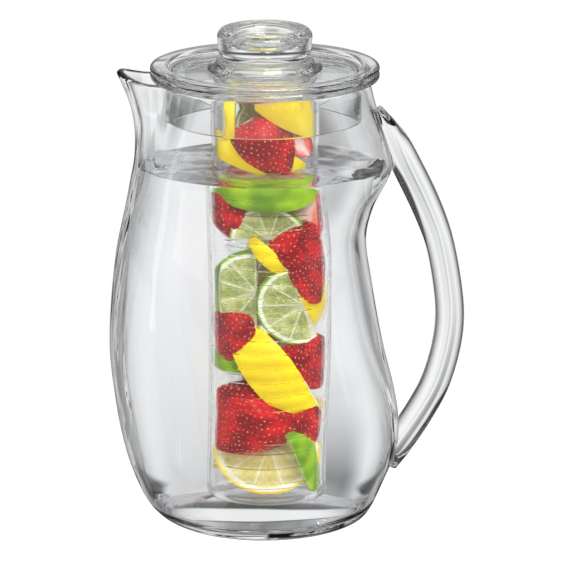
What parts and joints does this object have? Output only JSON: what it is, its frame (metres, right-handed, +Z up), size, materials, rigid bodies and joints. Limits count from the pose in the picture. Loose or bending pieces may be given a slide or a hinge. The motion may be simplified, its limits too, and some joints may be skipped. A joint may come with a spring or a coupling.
{
  "type": "fruit infuser pitcher",
  "caption": "Clear bowed pitcher with a spout and bonded loop handle, drop-in lid, hollow screw knob and a slotted fruit tube holding cut lime, lemon and strawberry.",
  "frame": {"origin": "centre of the flat underside of the base, on the table, below the axis of the mouth, lid and tube", "axes": "+Z up, +X towards the handle, so the spout points to -X, and +Y completes the right-handed frame, front to back"},
  "size_m": [0.1939, 0.156, 0.2726],
  "materials": {
    "clear_acrylic": "clear polished acrylic",
    "lemon_peel": "waxy lemon peel with pale flesh at the cut faces",
    "lemon_flesh": "wet lemon slice with white pith and yellow rind",
    "lime_peel": "waxy lime peel with pale green flesh at the cut faces",
    "lime_flesh": "wet lime slice with white pith and green rind",
    "strawberry": "glossy red strawberry with seeds in dimples"
  },
  "bodies": {
    "pitcher": {"pitcher_body": "clear_acrylic", "handle": "clear_acrylic"},
    "lid": {"lid_cover": "clear_acrylic"},
    "knob": {"knob": "clear_acrylic"},
    "infuser": {"infuser_tube": "clear_acrylic", "lemon_wedge_mid": "lemon_peel", "lime_half_centre": "lime_flesh", "lime_half_left": "lime_flesh", "lime_wedge_top": "lime_peel", "strawberry_top": "strawberry", "strawberry_large": "strawberry", "strawberry_right_upper": "strawberry", "strawberry_right_lower": "strawberry", "lime_slice_upper": "lime_flesh", "lemon_wedge_top": "lemon_peel", "lemon_wedge_low": "lemon_peel", "lemon_slice_left": "lemon_flesh", "strawberry_chip": "strawberry", "lime_slice_back": "lime_flesh", "lime_wedge_bottom": "lime_peel", "strawberry_small": "strawberry", "lemon_slice_bottom": "lemon_flesh", "strawberry_mid_right": "strawberry", "strawberry_left": "strawberry", "lime_wedge_left": "lime_peel", "strawberry_upper_right": "strawberry", "strawberry_upper_left": "strawberry", "lemon_wedge_upper": "lemon_peel", "lemon_wedge_behind": "lemon_peel", "lemon_back_low": "lemon_peel", "strawberry_back_low": "strawberry", "lime_back_mid": "lime_peel", "lemon_back_high": "lemon_peel", "strawberry_back_high": "strawberry", "lime_back_top": "lime_peel"}
  },
  "joints": [
    {"name": "lid_lift", "type": "slide", "parent": "pitcher", "child": "lid", "axis": [0, 0, 1], "range_m": [0, 0.25]},
    {"name": "knob_turn", "type": "hinge", "parent": "lid", "child": "knob", "pos_m": [0, 0, 0.25], "axis": [0, 0, 1], "range_deg": [0, 540]},
    {"name": "infuser_drop", "type": "slide", "parent": "lid", "child": "infuser", "axis": [0, 0, -1], "range_m": [0, 0.0045]}
  ],
  "couplings": [
    {"joint": "infuser_drop", "follows": "knob_turn", "m_per_rad": 0.00047746}
  ]
}
